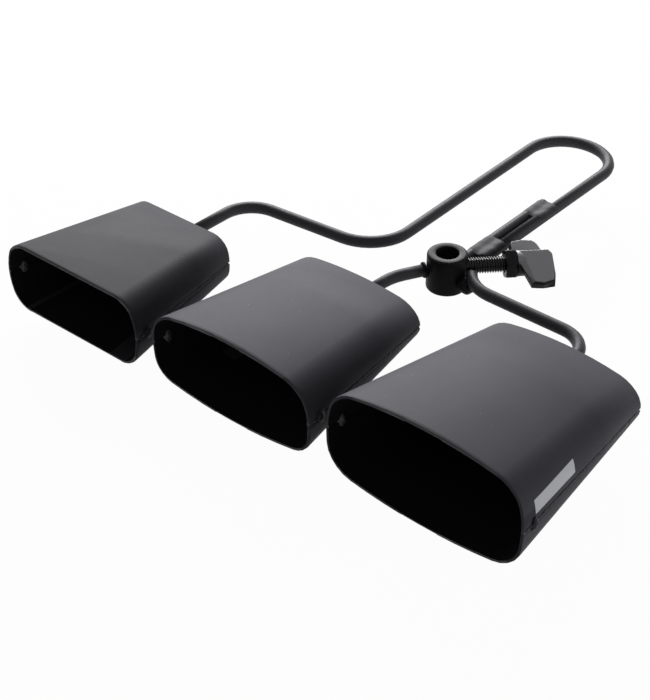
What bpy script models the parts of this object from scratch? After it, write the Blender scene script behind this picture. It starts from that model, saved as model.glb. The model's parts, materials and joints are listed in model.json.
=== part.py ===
"""Triple cowbell: three welded steel bells on bent round rod, carried by a clamp boss with a wing bolt.

Units are metres and +Z is up. The origin is on the axis of the boss's bore, level with the rods. The mouths of
the bells face -Y, their crowns face +Y, and the bells grow from the small one at -X to the large one at +X.
"""

import math

import bmesh
import bpy
from mathutils import Matrix, Vector

# Clearances
CLEARANCE = 0.0003              # between pieces that are welded, screwed or seated on each other

# Stock
SHEET_THICKNESS = 0.0012
ROD_DIAMETER = 0.0060

# Bells: half widths and half heights are to the outside of the sheet. A lean is how far a side comes in
# between the seam and the corner, an arch how far a face falls from its middle to its corners.
SMALL_BELL = dict(
    name="small_bell",
    mouth_y=-0.1339,
    crown_y=-0.0613,
    mouth_half_width=0.0436,
    mouth_half_height=0.01835,
    mouth_arch=0.0,
    upper_lean=0.0053,
    upper_corner=0.0070,
    lower_lean=0.0048,
    lower_corner=0.0075,
    crown_half_width=0.0318,
    crown_half_height=0.0127,
    crown_arch=0.0,
    crown_lean=0.00255,
    crown_corner=0.0074,
    yaw=-0.69,
    pitch=0.32,
    rake=-0.34,
    rod_offset=-0.00135,
)
MIDDLE_BELL = dict(
    name="middle_bell",
    mouth_y=-0.1321,
    crown_y=-0.04535,
    mouth_half_width=0.0462,
    mouth_half_height=0.0225,
    mouth_arch=0.0052,
    upper_lean=0.0052,
    upper_corner=0.0080,
    lower_lean=0.0012,
    lower_corner=0.0085,
    crown_half_width=0.0371,
    crown_half_height=0.0124,
    crown_arch=0.00255,
    crown_lean=0.0052,
    crown_corner=0.00735,
    yaw=-0.75,
    pitch=-0.21,
    rake=-2.59,
    rod_offset=0.0006,
)
LARGE_BELL = dict(
    name="large_bell",
    mouth_y=-0.13165,
    crown_y=-0.0336,
    mouth_half_width=0.0499,
    mouth_half_height=0.0255,
    mouth_arch=0.0053,
    upper_lean=0.0052,
    upper_corner=0.0084,
    lower_lean=0.0014,
    lower_corner=0.0116,
    crown_half_width=0.0403,
    crown_half_height=0.0146,
    crown_arch=0.0040,
    crown_lean=0.00445,
    crown_corner=0.0075,
    yaw=-1.47,
    pitch=-1.37,
    rake=-1.31,
    rod_offset=-0.00135,
)
MIDDLE_BELL_X = -0.01828
SMALL_MOUTH_GAP = 0.0067        # between the mouths of the small and middle bells
LARGE_MOUTH_GAP = 0.0083        # between the mouths of the middle and large bells
CORNER_FULLNESS = 0.56          # handle length of a bell's corner curve, as a part of its tangent

# Welds on a bell
SEAM_WELD_HEIGHT = 0.0006
SEAM_WELD_PROUD = 0.0004
SEAM_SETBACK = 0.0006
TACK_FROM_MOUTH = 0.0070
TACK_LENGTH = 0.0044
TACK_HEIGHT = 0.0062
TACK_PROUD = 0.0016
ROD_WELD_LEG = 0.0024
BOSS_WELD_LEG = 0.0009
BOSS_WELD_REACH = 0.0022        # along the rod

# Clamp boss
BOSS_DIAMETER = 0.0195
BOSS_HEIGHT = 0.0190
BORE_DIAMETER = 0.0110
BOSS_EDGE = 0.0012
BORE_EDGE = 0.0005

# Wing bolt, along a level axis through the boss's wall; distances run out from the bore's axis
BOLT_ANGLE = 45.5
BOLT_LEVEL = 0.0015
THREAD_DIAMETER = 0.0080
THREAD_DEPTH = 0.0007
THREAD_PITCH = 0.00125
TIP_SETBACK = 0.0003            # the shank's tip stops this far short of the bore
NUT_FACE = 0.0276
NUT_WIDTH = 0.0130
NUT_THICKNESS = 0.0052
NUT_CHAMFER = 0.0007
HUB_DIAMETER = 0.0156
HUB_FLANGE = 0.0034
HUB_NECK_DIAMETER = 0.0124
HUB_LENGTH = 0.0110
SOCKET_DEPTH = 0.0080           # of the shank in the hub
EAR_THICKNESS = 0.0046
EAR_SLOPE = 24.0
EAR_RISE = 0.0047               # the ears start this far above and below a level through the hub
EAR_LEVEL = -0.0005             # that level, from the bolt's axis
EAR_EDGE = 0.0011
HUB_EDGE = 0.0007

# Long rod: small bell, left run, left leg, loop, right leg
SMALL_DROP_Y = -0.0139
SMALL_DROP_BEND = 0.0173
LEFT_FOOT_X = -0.0343
LEFT_FOOT_Y = -0.0078
LEFT_FOOT_BEND = 0.0236
LOOP_LEFT_X = -0.0359
LOOP_RIGHT_X = 0.0088
LOOP_TOP_Y = 0.1468
RIGHT_LEG_X = 0.0077            # of the right leg, level with the boss

# Rod of the large bell, from the boss's flank to the crown
FLANK_NOTCH = 0.0004            # how deep the rod is let into the boss's flank
FLANK_ANGLE = 28.0              # from the wing bolt round to the rod's end
FLANK_WELD_ANGLE = 17.0         # from the rod's end round to its weld
FLANK_WELD_DROP = 0.0028
FLANK_WELD_SIZE = (0.0080, 0.0105, 0.0082)
RIGHT_RUN_X = 0.0182
RIGHT_RUN_Y = -0.0050
RIGHT_RUN_BEND = 0.0200
LARGE_DROP_Y = -0.0065
LARGE_DROP_BEND = 0.0160

# Rod of the middle bell
MIDDLE_CORNER_Y = -0.0217
MIDDLE_CORNER_OFFSET = 0.0018   # towards +X from the rod's end at the crown
MIDDLE_BEND = 0.0268
MIDDLE_HEADING = 28.8           # from +Y towards +X

# Brace rod, beside the right leg
BRACE_GAP = 0.0005
BRACE_END_Y = 0.0803
FRONT_WELD_END_Y = 0.0352
REAR_WELD_LENGTH = 0.0165
WELD_SAG = 0.0004
WELD_SPREAD = 55.0              # how far up each rod the brace's welds reach, from the plane of the rods

# Fineness of the round shapes
SIDE_STEPS = 3
CORNER_STEPS = 5
TOP_STEPS = 4
LOFT_STEPS = 3
ROUND_STEPS = 32
SMALL_STEPS = 16
THREAD_STEPS = 12
BEND_STEP = 9.0                 # degrees of a rod's bend between two rings

# Sizes that follow
ROD_R = ROD_DIAMETER / 2
BOSS_R = BOSS_DIAMETER / 2
BORE_R = BORE_DIAMETER / 2
THREAD_R = THREAD_DIAMETER / 2
SMALL_BELL["x"] = (MIDDLE_BELL_X - MIDDLE_BELL["mouth_half_width"] - SMALL_MOUTH_GAP
                   - SMALL_BELL["mouth_half_width"])
MIDDLE_BELL["x"] = MIDDLE_BELL_X
LARGE_BELL["x"] = (MIDDLE_BELL_X + MIDDLE_BELL["mouth_half_width"] + LARGE_MOUTH_GAP
                   + LARGE_BELL["mouth_half_width"])


def clear_scene():
    """Removes every object of the open scene."""
    for obj in list(bpy.data.objects):
        bpy.data.objects.remove(obj, do_unlink=True)


def collection(name):
    """A new collection linked to the scene."""
    group = bpy.data.collections.new(name)
    bpy.context.scene.collection.children.link(group)
    return group


clear_scene()
PARTS = collection("triple_cowbell")
CUTTERS = collection("cutters")


def material(name, colour, roughness, metallic):
    """A plain Principled material."""
    mat = bpy.data.materials.new(name)
    mat.use_nodes = True
    shader = mat.node_tree.nodes["Principled BSDF"]
    shader.inputs["Base Color"].default_value = (*colour, 1.0)
    shader.inputs["Roughness"].default_value = roughness
    shader.inputs["Metallic"].default_value = metallic
    return mat


BLACK_COAT = (0.022, 0.022, 0.024)
DEEP_BLACK = (0.012, 0.012, 0.013)


def finish(obj, colour=BLACK_COAT, roughness=0.45, metallic=0.1):
    """Gives a part its own material and smooth shading between its sharp edges."""
    obj.data.materials.clear()
    obj.data.materials.append(material(obj.name, colour, roughness, metallic))
    if obj.type == "MESH":
        obj.data.shade_smooth()
        obj.data.set_sharp_from_angle(angle=math.radians(35))
    return obj


def add_object(name, data, group=None, parent=None):
    """Links a new object for the data."""
    obj = bpy.data.objects.new(name, data)
    (group or PARTS).objects.link(obj)
    obj.parent = parent
    return obj


def from_bmesh(name, bm, group=None, parent=None):
    """Turns a bmesh into an object and frees it."""
    mesh = bpy.data.meshes.new(name)
    bm.to_mesh(mesh)
    bm.free()
    return add_object(name, mesh, group, parent)


def hide_cutter(obj):
    """Marks an object as a cutter."""
    obj.hide_render = True
    obj.display_type = "WIRE"
    return obj


def boolean(obj, other, operation="DIFFERENCE"):
    """Adds an exact Boolean to the object."""
    mod = obj.modifiers.new(operation.lower(), "BOOLEAN")
    mod.operation = operation
    mod.solver = "EXACT"
    mod.object = other
    return mod


def turned(name, profile, steps, closed=False, group=None, parent=None):
    """Turns a profile of (radius, height) points, running down its outer side, about Z."""
    bm = bmesh.new()
    points = [bm.verts.new((radius, 0.0, height)) for radius, height in profile]
    for first, second in zip(points, points[1:]):
        bm.edges.new((first, second))
    if closed:
        bm.edges.new((points[-1], points[0]))
    obj = from_bmesh(name, bm, group, parent)
    screw = obj.modifiers.new("turn", "SCREW")
    screw.steps = steps
    screw.render_steps = steps
    screw.use_merge_vertices = True
    screw.merge_threshold = 0.00001
    screw.use_smooth_shade = True
    return obj


def cylinder_cutter(name, radius, start, end, steps=ROUND_STEPS):
    """A cylinder from one point to another, used only to cut."""
    start = Vector(start)
    end = Vector(end)
    bm = bmesh.new()
    bmesh.ops.create_cone(bm, cap_ends=True, segments=steps, radius1=radius, radius2=radius,
                          depth=(end - start).length)
    obj = hide_cutter(from_bmesh(name, bm, CUTTERS))
    obj.matrix_world = (Matrix.Translation((start + end) / 2)
                        @ (end - start).to_track_quat("Z", "Y").to_matrix().to_4x4())
    return obj


def filleted(points):
    """Points along a path in the plane of the rods; each inner point is (x, y, bend radius)."""
    path = [Vector(points[0][:2])]
    for before, corner, after in zip(points, points[1:], points[2:]):
        here = Vector(corner[:2])
        back = (Vector(before[:2]) - here).normalized()
        ahead = (Vector(after[:2]) - here).normalized()
        half = back.angle(ahead) / 2
        radius = corner[2]
        centre = here + (back + ahead).normalized() * radius / math.sin(half)
        arm = here + back * radius / math.tan(half) - centre
        turn = math.pi - 2 * half
        if back.cross(ahead) > 0:
            turn = -turn
        steps = max(2, math.ceil(abs(math.degrees(turn)) / BEND_STEP))
        for index in range(steps + 1):
            spin = Matrix.Rotation(turn * index / steps, 2)
            path.append(centre + spin @ arm)
    path.append(Vector(points[-1][:2]))
    return path


def tube(name, path, radius, group=None):
    """Round rod along a flat path, as a poly curve with filled ends."""
    data = bpy.data.curves.new(name, "CURVE")
    data.dimensions = "3D"
    data.bevel_depth = radius
    data.bevel_resolution = 4
    data.use_fill_caps = True
    data.resolution_u = 1
    data.render_resolution_u = 0
    spline = data.splines.new("POLY")
    spline.points.add(len(path) - 1)
    for point, place in zip(spline.points, path):
        point.co = (place[0], place[1], 0.0, 1.0)
    return add_object(name, data, group)


def as_mesh(curve_obj):
    """Replaces a curve object by its mesh, with the caps welded on."""
    graph = bpy.context.evaluated_depsgraph_get()
    mesh = bpy.data.meshes.new_from_object(curve_obj.evaluated_get(graph))
    bm = bmesh.new()
    bm.from_mesh(mesh)
    bmesh.ops.remove_doubles(bm, verts=bm.verts, dist=0.00001)
    bmesh.ops.recalc_face_normals(bm, faces=bm.faces)
    bm.to_mesh(mesh)
    bm.free()
    name = curve_obj.name
    group = curve_obj.users_collection[0]
    place = curve_obj.matrix_world.copy()
    bpy.data.objects.remove(curve_obj, do_unlink=True)
    obj = add_object(name, mesh, group)
    obj.matrix_world = place
    return obj


def bell_outline(half_width, half_height, arch, lean, corner, start=0.0):
    """Upper half of a bell's section as (x, z) points, from the right seam over the top to the left seam."""
    width = half_width - lean
    height = half_height - arch
    side_top = height - corner
    arch_start = width - corner

    def side(z):
        return Vector((half_width - lean * (z / height) ** 2, z))

    def top(x):
        return Vector((x, half_height - arch * (x / width) ** 2))

    first = side(side_top)
    last = top(arch_start)
    up = Vector((-2 * lean * side_top / height ** 2, 1.0))
    out = Vector((1.0, -2 * arch * arch_start / width ** 2))
    gap = last - first
    reach = gap.cross(out) / up.cross(out)
    tip = first + up * reach
    points = [side(start + (side_top - start) * index / SIDE_STEPS) for index in range(SIDE_STEPS)]
    for index in range(CORNER_STEPS + 1):
        t = index / CORNER_STEPS
        handle_a = first.lerp(tip, CORNER_FULLNESS)
        handle_b = last.lerp(tip, CORNER_FULLNESS)
        points.append((1 - t) ** 3 * first + 3 * (1 - t) ** 2 * t * handle_a
                      + 3 * (1 - t) * t ** 2 * handle_b + t ** 3 * last)
    points += [top(arch_start * (1 - index / TOP_STEPS)) for index in range(1, TOP_STEPS + 1)]
    mirrored = [Vector((-point.x, point.y)) for point in reversed(points[:-1])]
    return points + mirrored


def mouth_outline(bell, half, start=0.0):
    """Section of one half of the bell at its mouth."""
    return bell_outline(bell["mouth_half_width"], bell["mouth_half_height"], bell["mouth_arch"],
                        bell[half + "_lean"], bell[half + "_corner"], start)


def crown_outline(bell, start=0.0):
    """Section of one half of the bell at its crown."""
    return bell_outline(bell["crown_half_width"], bell["crown_half_height"], bell["crown_arch"],
                        bell["crown_lean"], bell["crown_corner"], start)


def bell_frame(bell):
    """Empty at the middle of the bell's crown, which carries the bell's pieces."""
    frame = add_object(bell["name"] + "_crown", None)
    frame.empty_display_size = 0.01
    frame.location = (bell["x"], bell["crown_y"], 0.0)
    frame.rotation_euler = (math.radians(bell["pitch"]), 0.0, math.radians(bell["yaw"]))
    return frame


def mouth_depth(bell, z):
    """Y of the mouth's plane at a height, from the crown."""
    return bell["mouth_y"] - bell["crown_y"] + z * math.tan(math.radians(bell["rake"]))


def bell_shell(bell, half, frame):
    """One half of a bell: sheet lofted straight from the mouth's section to the crown's."""
    sign = 1.0 if half == "upper" else -1.0
    edge = SEAM_WELD_HEIGHT / 2 + CLEARANCE
    bm = bmesh.new()
    rings = []
    for step in range(LOFT_STEPS + 1):
        share = step / LOFT_STEPS
        ring = []
        for near, far in zip(mouth_outline(bell, half, edge), crown_outline(bell, edge)):
            start = Vector((near.x, mouth_depth(bell, sign * near.y), sign * near.y))
            end = Vector((far.x, 0.0, sign * far.y))
            ring.append(bm.verts.new(start.lerp(end, share)))
        rings.append(ring)
    for near, far in zip(rings, rings[1:]):
        for index in range(len(near) - 1):
            corners = [near[index], near[index + 1], far[index + 1], far[index]]
            if half == "upper":
                corners.reverse()
            bm.faces.new(corners)
    obj = from_bmesh(f"{bell['name']}_{half}_shell", bm, parent=frame)
    solid = obj.modifiers.new("sheet", "SOLIDIFY")
    solid.thickness = SHEET_THICKNESS
    solid.offset = -1.0
    solid.use_even_offset = True
    return finish(obj)


def inset_outline(points, distance):
    """Moves a closed convex outline inwards."""
    moved = []
    for index, point in enumerate(points):
        before = (point - points[index - 1]).normalized()
        after = (points[(index + 1) % len(points)] - point).normalized()
        normal_a = Vector((-before.y, before.x))
        normal_b = Vector((-after.y, after.x))
        middle = (normal_a + normal_b).normalized()
        moved.append(point + middle * distance / max(0.5, middle.dot(normal_a)))
    return moved


def crown_plate(bell, frame):
    """Flat plate that closes the crown inside the two shells."""
    upper = crown_outline(bell)
    lower = [Vector((-point.x, -point.y)) for point in upper[1:-1]]
    outline = inset_outline(upper + lower, SHEET_THICKNESS + CLEARANCE)
    bm = bmesh.new()
    bm.faces.new([bm.verts.new((point.x, 0.0, point.y)) for point in outline])
    obj = from_bmesh(bell["name"] + "_crown_plate", bm, parent=frame)
    solid = obj.modifiers.new("sheet", "SOLIDIFY")
    solid.thickness = SHEET_THICKNESS
    solid.offset = 1.0 if obj.data.polygons[0].normal.y < 0 else -1.0
    return finish(obj)


def seam_weld(bell, side, frame):
    """Weld run along one side seam, with a tack through the sheet near the mouth."""
    sign = 1.0 if side == "right" else -1.0
    middle = SHEET_THICKNESS / 2
    mouth = Vector((sign * (bell["mouth_half_width"] - middle), mouth_depth(bell, 0.0) + SEAM_SETBACK, 0.0))
    crown = Vector((sign * (bell["crown_half_width"] - middle), -SHEET_THICKNESS - 2 * CLEARANCE, 0.0))
    along = crown - mouth
    turn = Matrix.Rotation(math.atan2(-along.x, along.y), 4, "Z")
    bm = bmesh.new()
    bmesh.ops.create_cube(bm, size=1.0)
    width = SHEET_THICKNESS + 2 * SEAM_WELD_PROUD
    bmesh.ops.scale(bm, vec=(width, along.length, SEAM_WELD_HEIGHT), verts=bm.verts)
    obj = from_bmesh(f"{bell['name']}_{side}_seam_weld", bm, parent=frame)
    obj.matrix_local = Matrix.Translation((mouth + crown) / 2) @ turn
    for face in (1.0, -1.0):
        dome = bmesh.new()
        bmesh.ops.create_uvsphere(dome, u_segments=12, v_segments=8, radius=0.5)
        bmesh.ops.bisect_plane(dome, geom=dome.verts[:] + dome.edges[:] + dome.faces[:], plane_co=(0, 0, 0),
                               plane_no=(face, 0, 0), clear_inner=True)
        bmesh.ops.holes_fill(dome, edges=dome.edges)
        bmesh.ops.scale(dome, vec=(2 * TACK_PROUD, TACK_LENGTH, TACK_HEIGHT), verts=dome.verts)
        bmesh.ops.recalc_face_normals(dome, faces=dome.faces)
        tack = hide_cutter(from_bmesh("tack", dome, CUTTERS))
        tack.parent = frame
        offset = Vector((face * (middle + CLEARANCE), TACK_FROM_MOUTH - along.length / 2, 0.0))
        tack.matrix_local = Matrix.Translation((mouth + crown) / 2) @ turn @ Matrix.Translation(offset)
        boolean(obj, tack, "UNION")
    return finish(obj, DEEP_BLACK, 0.5)


def rod_weld(bell, frame):
    """Fillet weld round the rod's end on the crown plate."""
    bore = ROD_R + CLEARANCE
    profile = [
        (bore, ROD_WELD_LEG),
        (bore + 0.25 * ROD_WELD_LEG, 0.85 * ROD_WELD_LEG),
        (bore + 0.50 * ROD_WELD_LEG, 0.50 * ROD_WELD_LEG),
        (bore + ROD_WELD_LEG, CLEARANCE + 0.12 * ROD_WELD_LEG),
        (bore + ROD_WELD_LEG, CLEARANCE),
        (bore, CLEARANCE),
    ]
    obj = turned(bell["name"] + "_rod_weld", profile, SMALL_STEPS, closed=True, parent=frame)
    obj.rotation_euler = (-math.pi / 2, 0.0, 0.0)
    obj.location = (bell["rod_offset"], 0.0, 0.0)
    return finish(obj, DEEP_BLACK, 0.5)


def rod_end(bell):
    """Where a rod stops in front of a bell's crown plate."""
    return bell["x"] + bell["rod_offset"], bell["crown_y"] + CLEARANCE


def bolt_direction():
    """Unit vector along the wing bolt, out from the boss."""
    angle = math.radians(BOLT_ANGLE)
    return Vector((math.cos(angle), math.sin(angle), 0.0))


def right_leg_x(y):
    """X of the right leg's middle at a given Y."""
    return RIGHT_LEG_X + (LOOP_RIGHT_X - RIGHT_LEG_X) * y / LOOP_TOP_Y


def bolt_shadow_y(x):
    """Y just behind the wing bolt's clearance at a given X."""
    angle = math.radians(BOLT_ANGLE)
    return x * math.tan(angle) + (THREAD_R + CLEARANCE) / math.cos(angle) + CLEARANCE


def long_rod_path():
    """Small bell, left run, left leg, loop and right leg, which stops behind the wing bolt."""
    width = LOOP_RIGHT_X - LOOP_LEFT_X
    lean = (LEFT_FOOT_X - LOOP_LEFT_X) / (LOOP_TOP_Y - LEFT_FOOT_Y)
    loop_bend = width / 2 * (1 - abs(lean) - CLEARANCE / width)
    end_y = bolt_shadow_y(RIGHT_LEG_X + ROD_R)
    return filleted([
        rod_end(SMALL_BELL),
        (SMALL_BELL["x"], SMALL_DROP_Y, SMALL_DROP_BEND),
        (LEFT_FOOT_X, LEFT_FOOT_Y, LEFT_FOOT_BEND),
        (LOOP_LEFT_X, LOOP_TOP_Y, loop_bend),
        (LOOP_RIGHT_X, LOOP_TOP_Y, loop_bend),
        (right_leg_x(end_y), end_y),
    ])


def large_rod_path():
    """From the boss's flank, beside the wing bolt, along the right run and down to the large bell."""
    angle = math.radians(BOLT_ANGLE - FLANK_ANGLE)
    reach = BOSS_R + ROD_R - FLANK_NOTCH
    end_x, end_y = rod_end(LARGE_BELL)
    return filleted([
        (reach * math.cos(angle), reach * math.sin(angle)),
        (RIGHT_RUN_X, RIGHT_RUN_Y, RIGHT_RUN_BEND),
        (end_x + 0.0008, LARGE_DROP_Y, LARGE_DROP_BEND),
        (end_x, end_y),
    ])


def middle_rod_path():
    """From the middle bell's crown to the boss's flank, where the rod's end clears the boss."""
    heading = math.radians(MIDDLE_HEADING)
    ahead = Vector((math.sin(heading), math.cos(heading)))
    end_x, end_y = rod_end(MIDDLE_BELL)
    corner = Vector((end_x + MIDDLE_CORNER_OFFSET, MIDDLE_CORNER_Y))
    offset = abs(corner.cross(ahead))
    nearest = max(0.0, offset - ROD_R)
    stop = corner - ahead * (corner.dot(ahead) + math.sqrt((BOSS_R + CLEARANCE) ** 2 - nearest ** 2))
    return filleted([(end_x, end_y), (corner.x, corner.y, MIDDLE_BEND), (stop.x, stop.y)])


def brace_x(y):
    """X of the brace rod's middle, beside the right leg."""
    return right_leg_x(y) - ROD_DIAMETER - BRACE_GAP


def brace_path():
    """Brace rod from the boss's back to its cut end."""
    start = max(BOSS_R + CLEARANCE, bolt_shadow_y(brace_x(0.0) + ROD_R))
    return [Vector((brace_x(start), start)), Vector((brace_x(BRACE_END_Y), BRACE_END_Y))]


def boss_cutter():
    """Cylinder that keeps the rods and welds clear of the boss."""
    reach = BOSS_HEIGHT
    return cylinder_cutter("boss_clearance", BOSS_R + CLEARANCE, (0, 0, -reach), (0, 0, reach))


def bolt_cutter():
    """Cylinder that keeps the welds clear of the wing bolt."""
    axis = bolt_direction()
    level = Vector((0, 0, BOLT_LEVEL))
    return cylinder_cutter("bolt_clearance", THREAD_R + CLEARANCE, axis * BORE_R * 0.7 + level,
                           axis * (NUT_FACE + HUB_LENGTH) + level, SMALL_STEPS)


def boss(cut_bolt):
    """Turned clamp boss with a plain bore and the wing bolt's hole through one wall."""
    top = BOSS_HEIGHT / 2
    slope = BOSS_EDGE * (1 - math.sqrt(0.5))
    profile = [
        (BORE_R + BORE_EDGE, top),
        (BOSS_R - BOSS_EDGE, top),
        (BOSS_R - slope, top - slope),
        (BOSS_R, top - BOSS_EDGE),
        (BOSS_R, BOSS_EDGE - top),
        (BOSS_R - slope, slope - top),
        (BOSS_R - BOSS_EDGE, -top),
        (BORE_R + BORE_EDGE, -top),
        (BORE_R, BORE_EDGE - top),
        (BORE_R, top - BORE_EDGE),
    ]
    obj = turned("mounting_boss", profile, ROUND_STEPS, closed=True)
    boolean(obj, cut_bolt)
    return finish(obj)


def weld_lump(name, place, size, cutters, turn=0.0):
    """Lump of weld metal, cut back from the pieces that it joins."""
    bm = bmesh.new()
    bmesh.ops.create_uvsphere(bm, u_segments=SMALL_STEPS, v_segments=8, radius=0.5)
    bmesh.ops.scale(bm, vec=size, verts=bm.verts)
    bmesh.ops.rotate(bm, matrix=Matrix.Rotation(turn, 3, "Z"), verts=bm.verts)
    obj = from_bmesh(name, bm)
    obj.location = place
    for cutter in cutters:
        boolean(obj, cutter)
    return finish(obj, DEEP_BLACK, 0.5)


def brace_weld(name, start_y, end_y):
    """Weld run that fills the valley on top, between the brace rod and the right leg."""
    radius = ROD_R + CLEARANCE
    half_gap = (ROD_DIAMETER + BRACE_GAP) / 2
    low = math.degrees(math.acos(min(1.0, (half_gap - 0.0001) / radius)))
    angles = [math.radians(low + (WELD_SPREAD - low) * index / 5) for index in range(6)]
    left = [(-half_gap + radius * math.cos(angle), radius * math.sin(angle)) for angle in angles]
    right = [(-x, z) for x, z in left]
    sag = (0.0, left[-1][1] - WELD_SAG)
    outline = right + [sag] + left[::-1]
    bm = bmesh.new()
    start = Vector((right_leg_x(start_y) - half_gap, start_y, 0.0))
    end = Vector((right_leg_x(end_y) - half_gap, end_y, 0.0))
    face = bm.faces.new([bm.verts.new(start + Vector((x, 0.0, z))) for x, z in outline])
    grown = bmesh.ops.extrude_face_region(bm, geom=[face])
    moved = [item for item in grown["geom"] if isinstance(item, bmesh.types.BMVert)]
    bmesh.ops.translate(bm, vec=end - start, verts=moved)
    bmesh.ops.recalc_face_normals(bm, faces=bm.faces)
    return finish(from_bmesh(name, bm), DEEP_BLACK, 0.4)


def bolt_frame():
    """Empty on the wing bolt's axis, with its X axis pointing out of the boss."""
    frame = add_object("wing_bolt_axis", None)
    frame.empty_display_size = 0.01
    frame.location = (0.0, 0.0, BOLT_LEVEL)
    frame.rotation_euler = (0.0, 0.0, math.radians(BOLT_ANGLE))
    return frame


def along_bolt(obj, distance):
    """Lays a piece turned about Z along the wing bolt, its foot at a distance from the bore's axis."""
    obj.rotation_euler = (0.0, math.pi / 2, 0.0)
    obj.location = (distance, 0.0, 0.0)
    return obj


def thread_blank(length, frame):
    """Turned blank that trims the thread to its length and chamfers its tip."""
    over = THREAD_R + 0.0004
    root = THREAD_R - THREAD_DEPTH
    profile = [
        (0.0, length),
        (over, length),
        (over, over - root),
        (root, 0.0),
        (0.0, 0.0),
    ]
    blank = turned("thread_blank", profile, SMALL_STEPS, group=CUTTERS, parent=frame)
    return hide_cutter(blank)


def threaded_shank(frame):
    """Shank with a helical thread, spun from one pitch of its outline and trimmed to length."""
    start = BORE_R + TIP_SETBACK
    end = NUT_FACE + NUT_THICKNESS + CLEARANCE + SOCKET_DEPTH - CLEARANCE
    length = end - start
    turns = math.ceil(length / THREAD_PITCH) + 3
    root = THREAD_R - THREAD_DEPTH
    outline = [(THREAD_R, 0.0), (root, THREAD_PITCH / 2), (THREAD_R, THREAD_PITCH)]
    bm = bmesh.new()
    points = [bm.verts.new((radius, 0.0, height - 2 * THREAD_PITCH)) for radius, height in outline]
    edges = [bm.edges.new(pair) for pair in zip(points, points[1:])]
    bmesh.ops.spin(bm, geom=points + edges, cent=(0, 0, 0), axis=(0, 0, 1), angle=math.tau * turns,
                   dvec=(0, 0, THREAD_PITCH / THREAD_STEPS), steps=THREAD_STEPS * turns)
    bmesh.ops.remove_doubles(bm, verts=bm.verts, dist=THREAD_PITCH / 50)
    bmesh.ops.holes_fill(bm, edges=bm.edges)
    bmesh.ops.triangulate(bm, faces=[face for face in bm.faces if len(face.verts) > 4])
    bmesh.ops.recalc_face_normals(bm, faces=bm.faces)
    obj = along_bolt(from_bmesh("threaded_shank", bm, parent=frame), start)
    blank = along_bolt(thread_blank(length, frame), start)
    boolean(obj, blank, "INTERSECT")
    return finish(obj, DEEP_BLACK, 0.3, 0.3)


def lock_nut(frame):
    """Hexagon nut with a clear bore and both faces chamfered."""
    corner = NUT_WIDTH / math.sqrt(3)
    bm = bmesh.new()
    bmesh.ops.create_cone(bm, cap_ends=True, segments=6, radius1=corner, radius2=corner, depth=NUT_THICKNESS)
    bmesh.ops.rotate(bm, matrix=Matrix.Rotation(math.pi / 6, 3, "Z"), verts=bm.verts)
    bmesh.ops.translate(bm, vec=(0, 0, NUT_THICKNESS / 2), verts=bm.verts)
    obj = along_bolt(from_bmesh("lock_nut", bm, parent=frame), NUT_FACE)
    rim = corner + NUT_CHAMFER
    profile = [
        (0.0, NUT_THICKNESS),
        (corner - NUT_CHAMFER, NUT_THICKNESS),
        (rim, NUT_THICKNESS - NUT_CHAMFER),
        (rim, NUT_CHAMFER),
        (corner - NUT_CHAMFER, 0.0),
        (0.0, 0.0),
    ]
    blank = hide_cutter(turned("nut_blank", profile, 24, group=CUTTERS, parent=frame))
    along_bolt(blank, NUT_FACE)
    boolean(obj, blank, "INTERSECT")
    axis = bolt_direction()
    level = Vector((0, 0, BOLT_LEVEL))
    bore = cylinder_cutter("nut_bore", THREAD_R + CLEARANCE, axis * (NUT_FACE - 0.002) + level,
                           axis * (NUT_FACE + NUT_THICKNESS + 0.002) + level, SMALL_STEPS)
    boolean(obj, bore)
    return finish(obj, DEEP_BLACK, 0.3, 0.3)


def ear(name, outline, side, frame):
    """One ear of the wing head: a plate that slopes out from the hub, drawn as (along, out) points."""
    slope = math.radians(EAR_SLOPE)
    out = Vector((0.0, -side * math.cos(slope), -side * math.sin(slope)))
    up = Vector((1.0, 0.0, 0.0)).cross(out)
    bm = bmesh.new()
    face = bm.faces.new([bm.verts.new((along, reach, 0.0)) for along, reach in outline])
    bm.normal_update()
    lift = EAR_THICKNESS * face.normal.z
    grown = bmesh.ops.extrude_face_region(bm, geom=[face])
    moved = [item for item in grown["geom"] if isinstance(item, bmesh.types.BMVert)]
    bmesh.ops.translate(bm, vec=(0, 0, lift), verts=moved)
    bmesh.ops.translate(bm, vec=(0, 0, -lift / 2), verts=bm.verts)
    bmesh.ops.recalc_face_normals(bm, faces=bm.faces)
    obj = hide_cutter(from_bmesh(name, bm, CUTTERS, frame))
    bevel = obj.modifiers.new("edge", "BEVEL")
    bevel.width = EAR_EDGE
    bevel.segments = 2
    bevel.limit_method = "ANGLE"
    bevel.angle_limit = math.radians(60)
    turn = Matrix((Vector((1.0, 0.0, 0.0)), out, up)).transposed().to_4x4()
    hub_face = NUT_FACE + NUT_THICKNESS + CLEARANCE
    obj.matrix_local = Matrix.Translation((hub_face, 0.0, side * EAR_RISE + EAR_LEVEL)) @ turn
    return obj


NEAR_EAR = (
    (0.0004, -0.0018),
    (0.0156, -0.0018),
    (0.0169, 0.0004),
    (0.0171, 0.0156),
    (0.0158, 0.0177),
    (0.0120, 0.0184),
    (0.0072, 0.0180),
    (0.0032, 0.0158),
    (0.0006, 0.0130),
    (0.0006, 0.0090),
)
FAR_EAR = (
    (0.0006, -0.0010),
    (0.0150, -0.0010),
    (0.0150, 0.0090),
    (0.0107, 0.0163),
    (0.0088, 0.0174),
    (0.0020, 0.0174),
    (-0.0002, 0.0158),
    (-0.0010, 0.0102),
    (0.0004, 0.0092),
)


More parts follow.
